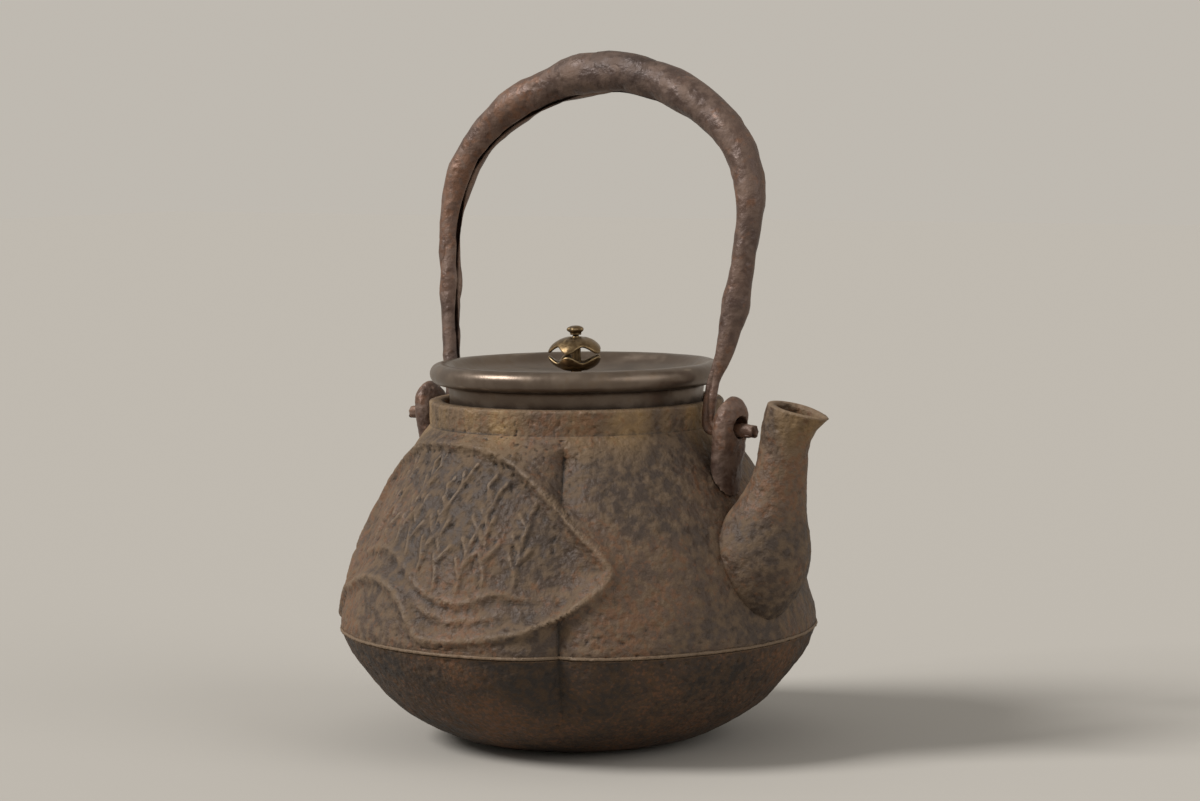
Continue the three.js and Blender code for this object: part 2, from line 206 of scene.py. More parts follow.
def new_group(name, inputs, outputs):
    """A shader group with its sockets. An input is a label, a kind and a start value or None."""
    group = bpy.data.node_groups.new(name, "ShaderNodeTree")
    for label, kind, value in inputs:
        socket = group.interface.new_socket(label, in_out="INPUT", socket_type=kind)
        if value is not None:
            socket.default_value = value
    for label in outputs:
        group.interface.new_socket(label, in_out="OUTPUT", socket_type="NodeSocketFloat")
    return group, group.nodes.new("NodeGroupInput"), group.nodes.new("NodeGroupOutput")


def math_node(tree, operation, first, second):
    """One step of arithmetic on two values, each a socket or a number."""
    node = tree.nodes.new("ShaderNodeMath")
    node.operation = operation
    for socket, value in zip(node.inputs, (first, second)):
        if isinstance(value, (int, float)):
            socket.default_value = value
        else:
            tree.links.new(value, socket)
    return node.outputs[0]


def stretch(tree, value, low, high):
    """Spread the values between low and high softly over 0 to 1."""
    node = tree.nodes.new("ShaderNodeMapRange")
    node.interpolation_type = "SMOOTHSTEP"
    tree.links.new(value, node.inputs["Value"])
    node.inputs["From Min"].default_value = low
    node.inputs["From Max"].default_value = high
    return node.outputs["Result"]


def noise_value(tree, vector, scale, detail):
    node = tree.nodes.new("ShaderNodeTexNoise")
    tree.links.new(vector, node.inputs["Vector"])
    tree.links.new(scale, node.inputs["Scale"])
    node.inputs["Detail"].default_value = detail
    return node.outputs["Fac"]


VECTOR_SOCKET = ("Vector", "NodeSocketVector", None)
print("helpers ready")

# %% [markdown]
# The mottle group holds the patchiness of rust: broad patches, fine spots, small specks that come mostly
# where a broad patch is, and streaks drawn out upright as water leaves them. All are noise at different
# scales. Hand-painted masks would need an image, and noise works from every side without one.

# %% Mottle
BROAD_RANGE, BROAD_DETAIL = (0.38, 0.64), 5
FINE_SCALE, FINE_RANGE, FINE_DETAIL = 9, (0.4, 0.66), 6
SPECK_SCALE, SPECK_RANGE, SPECK_DETAIL = 16, (0.27, 0.37), 2
STREAK_SCALE, STREAK_RANGE, STREAK_DETAIL = 2.2, (0.36, 0.62), 5
STREAK_SQUEEZE = (1, 1, 0.2)


def make_mottle():
    inputs = [VECTOR_SOCKET, ("Scale", "NodeSocketFloat", 40)]
    group, given, result = new_group("mottle", inputs, ["Broad", "Fine", "Specks", "Streaks"])
    vector, scale = given.outputs["Vector"], given.outputs["Scale"]
    broad = noise_value(group, vector, scale, BROAD_DETAIL)
    fine = noise_value(group, vector, math_node(group, "MULTIPLY", scale, FINE_SCALE), FINE_DETAIL)
    specks = noise_value(group, vector, math_node(group, "MULTIPLY", scale, SPECK_SCALE), SPECK_DETAIL)
    squeeze = group.nodes.new("ShaderNodeVectorMath")
    squeeze.operation = "MULTIPLY"
    squeeze.inputs[1].default_value = STREAK_SQUEEZE
    group.links.new(vector, squeeze.inputs[0])
    streak_scale = math_node(group, "MULTIPLY", scale, STREAK_SCALE)
    streaks = noise_value(group, squeeze.outputs[0], streak_scale, STREAK_DETAIL)
    specks_in_patches = math_node(group, "MULTIPLY", specks, broad)
    group.links.new(stretch(group, broad, *BROAD_RANGE), result.inputs["Broad"])
    group.links.new(stretch(group, fine, *FINE_RANGE), result.inputs["Fine"])
    group.links.new(stretch(group, specks_in_patches, *SPECK_RANGE), result.inputs["Specks"])
    group.links.new(stretch(group, streaks, *STREAK_RANGE), result.inputs["Streaks"])
    return group


MOTTLE = make_mottle()
print("mottle nodes:", len(MOTTLE.nodes))

# %% [markdown]
# Hands and cloths rub the raised edges bright, and painted shade darkens the hollows and creases.
# Pointiness tells the two apart on a fine mesh: a flat place gives a half, an edge more and a hollow less.

# %% Worn edges and painted shade
FLAT_PLACE = 0.5
WEAR_START, WEAR_SPAN = 0.505, 0.05
HOLLOW_SPAN = 0.06


def make_wear_and_shade():
    inputs = [("Start", "NodeSocketFloat", WEAR_START)]
    group, given, result = new_group("wear_and_shade", inputs, ["Raised", "Hollow shade"])
    point = group.nodes.new("ShaderNodeNewGeometry").outputs["Pointiness"]
    rise = math_node(group, "SUBTRACT", point, given.outputs["Start"])
    fall = math_node(group, "SUBTRACT", FLAT_PLACE, point)
    group.links.new(stretch(group, rise, 0, WEAR_SPAN), result.inputs["Raised"])
    # The hollow mask is painted shade: it darkens creases and gaps where shade falls.
    group.links.new(stretch(group, fall, 0, HOLLOW_SPAN), result.inputs["Hollow shade"])
    return group


WEAR_AND_SHADE = make_wear_and_shade()
print("edge wear nodes:", len(WEAR_AND_SHADE.nodes))

# %% [markdown]
# The mould's sand leaves a skin of grains with small round pits. Noise gives the grains and a cell
# pattern the pits. Their height goes into a Bump node, because they are too small to be worth a mesh.

# %% Cast skin
PIT_SCALE, PIT_EDGE, PIT_SHARE = 0.45, 0.42, 0.55
GRAIN_DETAIL = 4


def make_cast_skin():
    inputs = [VECTOR_SOCKET, ("Scale", "NodeSocketFloat", 700)]
    group, given, result = new_group("cast_skin", inputs, ["Height"])
    vector, scale = given.outputs["Vector"], given.outputs["Scale"]
    grain = noise_value(group, vector, scale, GRAIN_DETAIL)
    cells = group.nodes.new("ShaderNodeTexVoronoi")
    group.links.new(vector, cells.inputs["Vector"])
    group.links.new(math_node(group, "MULTIPLY", scale, PIT_SCALE), cells.inputs["Scale"])
    pits = math_node(group, "MULTIPLY", stretch(group, cells.outputs["Distance"], 0, PIT_EDGE), PIT_SHARE)
    group.links.new(math_node(group, "ADD", grain, pits), result.inputs["Height"])
    return group


CAST_SKIN = make_cast_skin()
print("cast skin nodes:", len(CAST_SKIN.nodes))

# %% [markdown]
# Every metal is laid up in the same order: a dark ground with paler patches, fine worn spots, specks
# of rust and bright edges, as a patina grows, and last painted shade in the hollows. Roughness follows
# the fine spots. One function lays it up, and each metal only says its own colours and strengths.

# %% A metal with its patina
BUMP_DISTANCE = 0.6 * MM
# Strengths of the worn edges and of the painted shade in the hollows
WORN_EDGES, HOLLOW_SHADE_STRENGTH = 0.7, 0.85


def place_group(tree, group, vector=None, **values):
    node = tree.nodes.new("ShaderNodeGroup")
    node.node_tree = group
    if vector is not None:
        tree.links.new(vector, node.inputs["Vector"])
    for label, value in values.items():
        node.inputs[label].default_value = value
    return node


def mix_colour(tree, mask, below, above):
    """Put one colour over another by a mask. The node's colours are inputs 6 and 7 and output 2."""
    node = tree.nodes.new("ShaderNodeMix")
    node.data_type = "RGBA"
    tree.links.new(mask, node.inputs[0])
    for socket, value in ((node.inputs[6], below), (node.inputs[7], above)):
        if isinstance(value, tuple):
            socket.default_value = (*value, 1)
        else:
            tree.links.new(value, socket)
    return node.outputs[2]


def add_band(tree, vector, streaks, colour, band):
    """Streaks of another colour above a height. The band is its colour, start and full height."""
    tone, start, full = band
    place = tree.nodes.new("ShaderNodeSeparateXYZ")
    tree.links.new(vector, place.inputs[0])
    belt = math_node(tree, "MULTIPLY", stretch(tree, place.outputs["Z"], start, full), streaks)
    return mix_colour(tree, belt, colour, tone)


def make_metal(name, *, dark, patch, worn, hollow, rust, rough, metallic, patches, grains, bump,
               spots, rusty, band=None):
    material = bpy.data.materials.new(name)
    material.use_nodes = True
    tree = material.node_tree
    shader = tree.nodes["Principled BSDF"]
    shader.inputs["Metallic"].default_value = metallic
    vector = tree.nodes.new("ShaderNodeTexCoord").outputs["Object"]
    mottle = place_group(tree, MOTTLE, vector, Scale=patches)
    wear_and_shade = place_group(tree, WEAR_AND_SHADE)
    skin = place_group(tree, CAST_SKIN, vector, Scale=grains)
    colour = mix_colour(tree, mottle.outputs["Broad"], dark, patch)
    if band:
        colour = add_band(tree, vector, mottle.outputs["Streaks"], colour, band)
    # The last mask lays the hollow colour into creases and gaps as painted shade.
    for mask, strength, tone in ((mottle.outputs["Fine"], spots, worn),
                                 (mottle.outputs["Specks"], rusty, rust),
                                 (wear_and_shade.outputs["Raised"], WORN_EDGES, worn),
                                 (wear_and_shade.outputs["Hollow shade"], HOLLOW_SHADE_STRENGTH, hollow)):
        colour = mix_colour(tree, math_node(tree, "MULTIPLY", mask, strength), colour, tone)
    tree.links.new(colour, shader.inputs["Base Color"])
    smoothest, roughest = rough
    spread = math_node(tree, "MULTIPLY", mottle.outputs["Fine"], roughest - smoothest)
    tree.links.new(math_node(tree, "ADD", spread, smoothest), shader.inputs["Roughness"])
    relief = tree.nodes.new("ShaderNodeBump")
    relief.inputs["Strength"].default_value = bump
    relief.inputs["Distance"].default_value = BUMP_DISTANCE
    tree.links.new(skin.outputs["Height"], relief.inputs["Height"])
    tree.links.new(relief.outputs["Normal"], shader.inputs["Normal"])
    print(name, "nodes:", len(tree.nodes))
    return material


# %% [markdown]
# The body's iron is brown with rust and only a little metallic, because what shows is mostly oxide.
# Towards the neck, where steam and water run, ochre streaks come through.

# %% Iron of the body
# Painted shade for the hollows and creases of body and bowl
SHADE_BROWN = (0.012, 0.008, 0.005)
RUST = (0.17, 0.068, 0.024)
OCHRE = (0.24, 0.148, 0.062)
# Heights in metres, as the shader sees them
OCHRE_START, OCHRE_FULL = 0.086, 0.1
body_iron = make_metal(
    "body_iron", dark=(0.045, 0.028, 0.018), patch=(0.098, 0.058, 0.034), worn=(0.185, 0.125, 0.076),
    hollow=SHADE_BROWN, rust=RUST, rough=(0.6, 0.9), metallic=0.15, patches=33, grains=700, bump=1,
    spots=0.6, rusty=0.4, band=(OCHRE, OCHRE_START, OCHRE_FULL))

# %% [markdown]
# The bowl's colours are darker than the body's as painted shade on the underside, and it is rougher.
# The patches are smaller here, so a larger scale is given to the same mottle.

# %% Iron of the bowl
# Darker ground, patches and worn spots than the body's: painted shade
shaded_bowl_iron = make_metal(
    "shaded_bowl_iron", dark=(0.02, 0.013, 0.009), patch=(0.06, 0.033, 0.018), worn=(0.12, 0.07, 0.035),
    hollow=SHADE_BROWN, rust=RUST, rough=(0.65, 0.92), metallic=0.15, patches=48, grains=700, bump=1,
    spots=0.4, rusty=0.4)

# %% [markdown]
# The bail and the ears look alike, smoother than the body and purple-brown, with paler rubs from hands
# and from swinging. A little more of the metal shows, so their metallic value is higher.

# %% Iron of the bail and the ears
bail_iron = make_metal(
    "bail_iron", dark=(0.062, 0.036, 0.027), patch=(0.115, 0.064, 0.044), worn=(0.23, 0.155, 0.115),
    hollow=(0.02, 0.011, 0.008), rust=(0.2, 0.08, 0.03), rough=(0.45, 0.72), metallic=0.3, patches=26,
    grains=600, bump=0.75, spots=0.4, rusty=0.35)

# %% [markdown]
# The lid is bronze with a brown patina, polished by use to a satin. Its ground and its patches are close
# in colour, and a weak bump keeps the long soft highlight on the rim unbroken.

# %% Bronze of the lid
lid_bronze = make_metal(
    "lid_bronze", dark=(0.12, 0.09, 0.069), patch=(0.155, 0.118, 0.09), worn=(0.25, 0.2, 0.155),
    hollow=(0.02, 0.014, 0.01), rust=(0.14, 0.09, 0.05), rough=(0.32, 0.44), metallic=0.8, patches=18,
    grains=500, bump=0.08, spots=0.3, rusty=0.25)

# %% [markdown]
# The knob and its washers are thin brass, golden where fingers touch it, with painted shade that makes them
# nearly black in the gaps between the petals.

# %% Brass of the knob
knob_brass = make_metal(
    "knob_brass", dark=(0.115, 0.074, 0.036), patch=(0.18, 0.12, 0.058), worn=(0.34, 0.25, 0.135),
    hollow=(0.014, 0.009, 0.005), rust=(0.2, 0.1, 0.035), rough=(0.28, 0.46), metallic=0.85, patches=90,
    grains=900, bump=0.12, spots=0.3, rusty=0.3)

# %% [markdown]
# The body is one lobed casting above and a bowl below. Its outline is a smooth curve through a few
# points, and the creases, the raised beads and the relief are heights added to that outline. A fine grid
# wrapped round the axis takes them all as real geometry. Sculpting could do the same, but heights worked
# out from sizes stay exact and can be changed.

# %% Outline, in millimetres
BASE_RADIUS, WAIST_RADIUS, NECK_RADIUS = 29, 72.6, 45
WAIST_HEIGHT, NECK_ROOT, NECK_TOP = 34.6, 96.5, 104
# Share of the way from base to waist: radius, height
BOWL_SHAPE = [(0, 0), (0.3, 0.1), (0.64, 0.36), (0.905, 0.75), (1, 1)]
# Share of the way from neck to waist in radius, and from waist to neck in height
SHOULDER_SHAPE = [(1, 0), (0.986, 0.087), (0.815, 0.346), (0.58, 0.588), (0.272, 0.822), (0.1, 0.945),
                  (0, 1)]
BOWL_STEPS, SHOULDER_STEPS = 18, 20


def smooth_curve(points, steps, closed=False):
    """Points on a Catmull-Rom curve, with the given number of steps to each span."""
    points = np.array(points, float)
    count = len(points)
    made = []

    def pick(index):
        return points[index % count] if closed else points[min(max(index, 0), count - 1)]

    for i in range(count if closed else count - 1):
        before, start, end, after = [pick(i + k) for k in (-1, 0, 1, 2)]
        leave, arrive = (end - before) / 2, (after - start) / 2
        cubic = 2 * start - 2 * end + leave + arrive
        square = -3 * start + 3 * end - 2 * leave - arrive
        made += [cubic * t**3 + square * t**2 + leave * t + start for t in np.arange(steps) / steps]
    if not closed:
        made.append(points[-1])
    return np.array(made)


def between(low, high, share):
    return low + share * (high - low)


shoulder = smooth_curve([(between(NECK_RADIUS, WAIST_RADIUS, r), between(WAIST_HEIGHT, NECK_ROOT, z))
                         for r, z in SHOULDER_SHAPE], SHOULDER_STEPS)
bowl = smooth_curve([(between(BASE_RADIUS, WAIST_RADIUS, r), z * WAIST_HEIGHT) for r, z in BOWL_SHAPE],
                    BOWL_STEPS)
print("outline points:", len(shoulder), len(bowl))

# %% [markdown]
# Three creases part the body into lobes, like a fruit. Each is a valley by angle that keeps its depth up
# the wall and fades out under the neck and at the foot. A formula keeps them alike all round.

# %% Creases, in millimetres and degrees
LOBES, FIRST_CREASE = 3, -58
CREASE_DEPTH, CREASE_WIDTH = 4.4, 11
CREASE_START, CREASE_FULL = 2, 0.8 * WAIST_HEIGHT
CREASE_FADE, CREASE_END = NECK_ROOT - 9, NECK_ROOT - 1


def smoothstep(value, low, high):
    t = np.clip((value - low) / (high - low), 0, 1)
    return t * t * (3 - 2 * t)


def crease_depth(degrees, height):
    spacing = 360 / LOBES
    turn = np.mod(degrees - FIRST_CREASE, spacing)
    away = np.minimum(turn, spacing - turn) / CREASE_WIDTH
    rise = smoothstep(height, CREASE_START, CREASE_FULL)
    fade = 1 - smoothstep(height, CREASE_FADE, CREASE_END)
    return CREASE_DEPTH * rise * fade * np.maximum(0, 1 - away) ** 2


print("creases at:", [FIRST_CREASE + k * 360 // LOBES for k in range(LOBES)])

# %% [markdown]
# A raised bead frames a field on the front lobe, and a short one below it marks the edge of a leaf. A
# founder would cut both as grooves into the mould. Here they are curves through a few points of angle and
# height, and the distance from the curve makes the rounded rib.

# %% Beads, in degrees and millimetres
FIELD_BEAD = [(-134, 49), (-143, 58), (-147, 70), (-141, 83), (-128, 91), (-112, 93.6), (-89, 93.2),
              (-75, 89.4), (-62.5, 81), (-54, 72), (-47, 63.5), (-45.4, 58.5), (-51, 51.8), (-58.4, 45.7),
              (-71, 41.5), (-90, 39), (-95.6, 42.6), (-100, 48.2), (-105.6, 52.5), (-113, 54.3),
              (-122.6, 53.3)]
LEAF_BEAD = [(-132, 50), (-139, 46.5), (-144, 42), (-147, 38.4)]
BEAD_HEIGHT, BEAD_SPREAD, BEAD_STEPS = 1.8, 1.9, 4
MID_RADIUS = 63


def flat(points):
    """Degrees and heights as millimetres along the surface."""
    points = np.array(points, float)
    return np.stack([np.radians(points[:, 0]) * MID_RADIUS, points[:, 1]], 1)


def distance_to(run, spots):
    """Distance from each spot to the nearest of a run of straight strokes."""
    best = np.full(len(spots), np.inf)
    for start, end in zip(run[:-1], run[1:]):
        along = end - start
        t = np.clip(((spots - start) @ along) / (along @ along), 0, 1)
        best = np.minimum(best, np.linalg.norm(spots - start - t[:, None] * along, axis=1))
    return best


def inside(ring, spots):
    """Whether each spot lies inside a ring of points, by counting the sides that it crosses."""
    hit = np.zeros(len(spots), bool)
    for start, end in zip(ring[:-1], ring[1:]):
        crosses = (start[1] > spots[:, 1]) != (end[1] > spots[:, 1])
        if crosses.any():
            slope = (end[0] - start[0]) / (end[1] - start[1])
            hit ^= crosses & (spots[:, 0] < slope * (spots[:, 1] - start[1]) + start[0])
    return hit


field_edge = flat(smooth_curve(FIELD_BEAD, BEAD_STEPS, closed=True))
field_edge = np.vstack([field_edge, field_edge[:1]])
leaf_edge = flat(smooth_curve(LEAF_BEAD, BEAD_STEPS))
print("bead points:", len(field_edge), len(leaf_edge))

# %% [markdown]
# The framed field holds a low relief. Here it is reeds with leaves by turns over two rolling banks, a
# plain seasonal motif. Every stroke is a run of short lines, and a spot's height depends on how near the
# closest stroke lies, which gives soft, worn edges like an old mould's.

# %% Reeds and banks, in degrees and millimetres
# Angle and height of the foot, and how far the top leans over
REEDS = [(-126, 60, 6), (-119, 58, -5), (-112, 60, 8), (-105, 57, -4), (-99, 55, 9), (-92, 51, -6),
         (-85, 50, 7), (-78, 52, -4), (-70, 51, 5)]
REED_HEIGHT, REED_STEPS, FIRST_LEAF = 31, 9, 2
LEAF_LENGTH, LEAF_SHRINK, LEAF_TURN, LEAF_SPREAD = 6.5, 0.06, 48, 11
BANKS = [[(-128, 60), (-116, 63), (-104, 59), (-94, 52), (-84, 50), (-74, 53), (-64, 51), (-56, 53)],
         [(-100, 52), (-90, 46), (-80, 45.5), (-70, 48), (-60, 49)]]
BANK_STEPS = 5
# Height and half width of a stroke
STEM, LEAF, BANK = (0.7, 0.7), (0.95, 0.85), (1.1, 1.5)


def leaf_stroke(root, step):
    """Leaves spring by turns to the left and the right, and grow shorter towards the top."""
    turn = LEAF_TURN + LEAF_SPREAD * (step % 3)
    turn = math.radians(turn if step % 2 else 180 - turn)
    reach = LEAF_LENGTH * (1 - LEAF_SHRINK * step)
    return np.array([root, root + reach * np.array([math.cos(turn), math.sin(turn)])])


def relief_strokes():
    strokes = []
    for degrees, foot, lean in REEDS:
        shares = np.arange(REED_STEPS + 1) / REED_STEPS
        stem = flat([(degrees + lean * share**2, foot + REED_HEIGHT * share) for share in shares])
        strokes.append((stem, *STEM))
        strokes += [(leaf_stroke(stem[k], k), *LEAF) for k in range(FIRST_LEAF, REED_STEPS + 1)]
    strokes += [(flat(smooth_curve(bank, BANK_STEPS)), *BANK) for bank in BANKS]
    return strokes


strokes = relief_strokes()
print("strokes of the relief:", len(strokes))

# %% [markdown]
# Bead, field and strokes become one height. The field sinks inside its bead, more towards its right-hand
# tip, so that the bead throws a shadow there.

# %% Height of the relief, in millimetres and degrees
STROKE_FADE = (1.8, 5)
FIELD_SLOPE = (0, 7)
FIELD_DEPTH, TIP_DEPTH, TIP_TURN = 1.1, 2.3, (-88, -62)


def relief(degrees, height):
    """Height of the relief at each place, and whether the place is in the field."""
    spots = np.stack([np.radians(degrees) * MID_RADIUS, height], 1)
    edge = distance_to(field_edge, spots)
    in_field = inside(field_edge, spots)
    marks = np.zeros(len(spots))
    for run, rise, width in strokes:
        marks = np.maximum(marks, rise * np.exp(-(distance_to(run, spots) / width) ** 2))
    depth = FIELD_DEPTH + TIP_DEPTH * smoothstep(degrees, *TIP_TURN)
    field = marks * smoothstep(edge, *STROKE_FADE) - depth * smoothstep(edge, *FIELD_SLOPE)
    near = np.minimum(edge, distance_to(leaf_edge, spots))
    bead = BEAD_HEIGHT * np.exp(-(near / BEAD_SPREAD) ** 2)
    return np.where(in_field, field, 0) + bead, in_field


print("deepest place of the field:", FIELD_DEPTH + TIP_DEPTH)

# %% [markdown]
# A cast skin is uneven at several sizes at once: slow waves from the mould, lumps of a few millimetres,
# and pits that come in patches. Fractal noise in space gives all of these as geometry, and the material
# adds the finest grains. The noise has no chance in it, so the kettle comes out the same every time.

# %% Uneven skin
FRACTAL_DIMENSION, FRACTAL_GAP = 0.9, 2.1
# Size in millimetres, amount in millimetres, octaves
WAVES, LUMPS = (15, 0.4, 4), (3.2, 0.2, 3)
PITS, PITTED_PATCHES = (1.9, 1, 2), (30, 1, 2)
PIT_START, PIT_DEPTH, SKIN_INSET = 0.24, 1.1, 0.12


def roughen(points, size, amount, octaves):
    """Heights in millimetres for points in millimetres."""
    return np.array([amount * noise.fractal(Vector(point) / size, FRACTAL_DIMENSION, FRACTAL_GAP, octaves)
                     for point in points])


def cast_unevenness(points):
    pits = np.maximum(0, roughen(points, *PITS) - PIT_START)
    pits = pits * np.clip(0.5 + roughen(points, *PITTED_PATCHES), 0, 1)
    return roughen(points, *WAVES) + roughen(points, *LUMPS) - PIT_DEPTH * pits - SKIN_INSET


print("waves, lumps and pits in mm:", WAVES[0], LUMPS[0], PITS[0])

# %% [markdown]
# Body, bowl and spout are all stacks of rings. One helper joins a stack into a closed mesh, and another
# ends every piece in the same way: it keeps the piece inside the frame's box, gives it its metal, and
# hangs it on the body that moves it in place of the plain solid.

# %% Rings into a mesh


def closed_mesh(name, rings, closed):
    """Join rings of points in millimetres. A stack that isn't closed gets a cap on each end."""
    count, columns = rings.shape[:2]
    i = np.arange(count if closed else count - 1)[:, None]
    k = np.arange(columns)[None, :]
    j, n = (i + 1) % count, (k + 1) % columns
    faces = np.stack([i * columns + k, i * columns + n, j * columns + n, j * columns + k], -1)
    mesh = bpy.data.meshes.new(name)
    mesh.from_pydata((rings.reshape(-1, 3) * MM).tolist(), [], faces.reshape(-1, 4).tolist())
    work = bmesh.new()
    work.from_mesh(mesh)
    if not closed:
        bmesh.ops.holes_fill(work, edges=[e for e in work.edges if e.is_boundary], sides=0)
    bmesh.ops.recalc_face_normals(work, faces=work.faces)
    work.to_mesh(mesh)
    work.free()
    mesh.shade_smooth()
    made = bpy.data.objects.new(name, mesh)
    bpy.context.scene.collection.objects.link(made)
    return made


def finish_piece(made, material, body, slot, *nodes):
    for vertex in made.data.vertices:
        vertex.co = [min(max(c, lo), hi) for c, lo, hi in zip(vertex.co, cad_low, cad_high)]
    made.data.materials.clear()
    made.data.materials.append(material)
    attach(made, body)
    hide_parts(*nodes)
    print(made.name, "vertices:", len(made.data.vertices))


# %% [markdown]
# The wrapper turns an outline into rings. Every row follows the creases. Rows of the outside also get the
# skin, and on the shell the relief. Half a degree between columns is fine enough for the reeds.

# %% Wrapping an outline round the axis
COLUMNS = 720
ANGLES = np.linspace(-180, 180, COLUMNS, endpoint=False)
TURNS = np.radians(ANGLES)
RELIEF_START = WAIST_HEIGHT + 2
CREASE_BRIDGED = 0.8


def ring_points(reach, height):
    return np.stack([reach * np.cos(TURNS), reach * np.sin(TURNS), np.full(COLUMNS, height)], 1)


def wrap(profile, outer_rows, with_relief):
    """Rings of points round the axis. The field bridges most of the crease that runs under it."""
    rows = []
    for index, (radius, height) in enumerate(profile):
        crease = crease_depth(ANGLES, np.full(COLUMNS, height))
        reach = radius - crease
        if index < outer_rows:
            if with_relief and RELIEF_START < height < NECK_ROOT:
                rise, in_field = relief(ANGLES, np.full(COLUMNS, height))
                reach = reach + rise + np.where(in_field, CREASE_BRIDGED * crease, 0)
            reach = reach + cast_unevenness(ring_points(reach, height))
        rows.append(ring_points(reach, height))
    return np.array(rows)


print("columns:", COLUMNS)

# %% [markdown]
# The shell's section runs up the outside from the thin fin at the waist, over the rounded lip, down the
# mouth to the ledge under the lid, and down the inside. Turned round the axis it closes on itself, so the
# wall has its real thickness when the lid is off.

# %% Body shell, in millimetres
WALL, LIP = 3.2, 0.9
MOUTH_RADIUS, LEDGE_RADIUS, LEDGE_TOP, LEDGE_THICKNESS = 40.4, 36.4, 99.7, 2.2
# How far the fin stands past the waist, and how far above it
FIN = [(0.4, 0), (0.5, 0.5), (0.2, 1)]
ROWS_UNDER_FIN = 4
NECK_START, NECK_ROWS = 0.6, 12
LIP_TURNS = np.linspace(0.3, 1.5, 4)
INNER_STEP, INNER_STOP = 8, -22


def make_shell():
    fin = [(WAIST_RADIUS + out, WAIST_HEIGHT + up) for out, up in FIN]
    neck = [(NECK_RADIUS, z) for z in np.linspace(NECK_ROOT + NECK_START, NECK_TOP - LIP, NECK_ROWS)]
    lip = [(NECK_RADIUS - LIP + LIP * math.cos(a), NECK_TOP - LIP + LIP * math.sin(a)) for a in LIP_TURNS]
    outer = fin + [tuple(point) for point in shoulder[ROWS_UNDER_FIN:]] + neck + lip
    mouth = [(MOUTH_RADIUS + LIP, NECK_TOP), (MOUTH_RADIUS, NECK_TOP - LIP), (MOUTH_RADIUS, LEDGE_TOP),
             (LEDGE_RADIUS, LEDGE_TOP), (LEDGE_RADIUS, LEDGE_TOP - LEDGE_THICKNESS)]
    inner = [(radius - WALL, height) for radius, height in shoulder[:INNER_STOP:INNER_STEP][::-1]]
    shell = closed_mesh("shell_skin", wrap(outer + mouth + inner, len(outer), True), True)
    finish_piece(shell, body_iron, "vessel", "body_iron", "body_shell")


make_shell()

# %% [markdown]
# Below the waist the wall turns in as a bowl, which stands on a flat foot. The thin fin all round is where
# two halves of the mould met. The bowl has the same creases and skin as the shell, but no relief.

# %% Bottom bowl, in millimetres
SEAT_GAP, RIM_INSET = 0.3, 0.2
FLOOR_SHARE = 0.8
HOLLOW_STEP, HOLLOW_STOP = 8, -10


def make_bowl():
    rim_height = WAIST_HEIGHT - SEAT_GAP
    outer = [tuple(point) for point in bowl[:-1]] + [(WAIST_RADIUS - RIM_INSET, rim_height)]
    hollow = [(radius - WALL, height + FLOOR_SHARE * WALL)
              for radius, height in bowl[:HOLLOW_STOP:HOLLOW_STEP][::-1]]
    profile = outer + [(WAIST_RADIUS - WALL, rim_height)] + hollow
    base = closed_mesh("bowl_skin", wrap(profile, len(outer), False), False)
    finish_piece(base, shaded_bowl_iron, "vessel", "body_iron", "bottom_bowl")


make_bowl()

# %% [markdown]
# The spout swells from the wall as a bulb, draws in to a neck and ends in a beak. It is a stack of
# ellipses along that form. A curve through their sizes makes it smooth, and an inner stack of the same
# ellipses, less the wall, makes the open mouth.

# %% Spout, in millimetres
SPOUT_WALL, SPOUT_COLUMNS, SPOUT_STEPS = 2.4, 96, 8
# Height, centre, half depth, half width, tilt, beak
SPOUT_SECTIONS = [
    (41, 66, 5, 5.5, 0, 0), (45, 66, 9.6, 10, 0, 0), (51, 66, 13.6, 13.9, 0, 0), (58, 66.4, 15.7, 15.7, 0, 0),
    (65, 67.2, 15, 15.3, 0, 0), (72, 69.4, 12.2, 12.5, 0, 0), (79, 72.4, 9.5, 9.7, 0.03, 0),
    (86, 74.6, 8, 8.1, 0.06, 0), (93, 75.7, 7.6, 7.6, 0.1, 0), (99, 77.2, 8, 7.5, 0.18, 0.8),
    (104.2, 79.8, 8.4, 7.5, 0.24, 3),
]
BEAK_POWER = 4
MID_WALL, LIP_RISE = 0.5 * SPOUT_WALL, 0.25
BORE_STEP, BORE_STOP = -2, 10
# Size in millimetres, amount in millimetres, octaves
SPOUT_WAVES, SPOUT_LUMPS, SPOUT_INSET = (9, 0.3, 4), (2.6, 0.2, 3), 0.3


def spout_ring(section, thinner):
    """One ellipse of the spout, drawn in by thinner. The one in the middle of the wall is the lip."""
    height, centre, depth, width, tilt, beak = section
    turn = np.linspace(0, 2 * np.pi, SPOUT_COLUMNS, endpoint=False)
    reach = (depth - thinner) * np.cos(turn) + beak * np.maximum(0, np.cos(turn)) ** BEAK_POWER
    lift = LIP_RISE if thinner == MID_WALL else 0
    return np.stack([centre + reach, (width - thinner) * np.sin(turn), height + lift - tilt * reach], 1)


def roughen_outside(ring, centre):
    out = ring - np.array([centre, 0, 0])
    out[:, 2] = 0
    out /= np.linalg.norm(out, axis=1)[:, None]
    push = roughen(ring, *SPOUT_WAVES) + roughen(ring, *SPOUT_LUMPS) - SPOUT_INSET
    return ring + out * push[:, None]


def make_spout():
    sections = smooth_curve(SPOUT_SECTIONS, SPOUT_STEPS)
    outside = [roughen_outside(spout_ring(section, 0), section[1]) for section in sections]
    lip = [spout_ring(sections[-1], MID_WALL)]
    bore = [spout_ring(section, SPOUT_WALL) for section in sections[:BORE_STOP:BORE_STEP]]
    spout = closed_mesh("spout_skin", np.array(outside + lip + bore), False)
    finish_piece(spout, body_iron, "vessel", "body_iron", "spout")


make_spout()

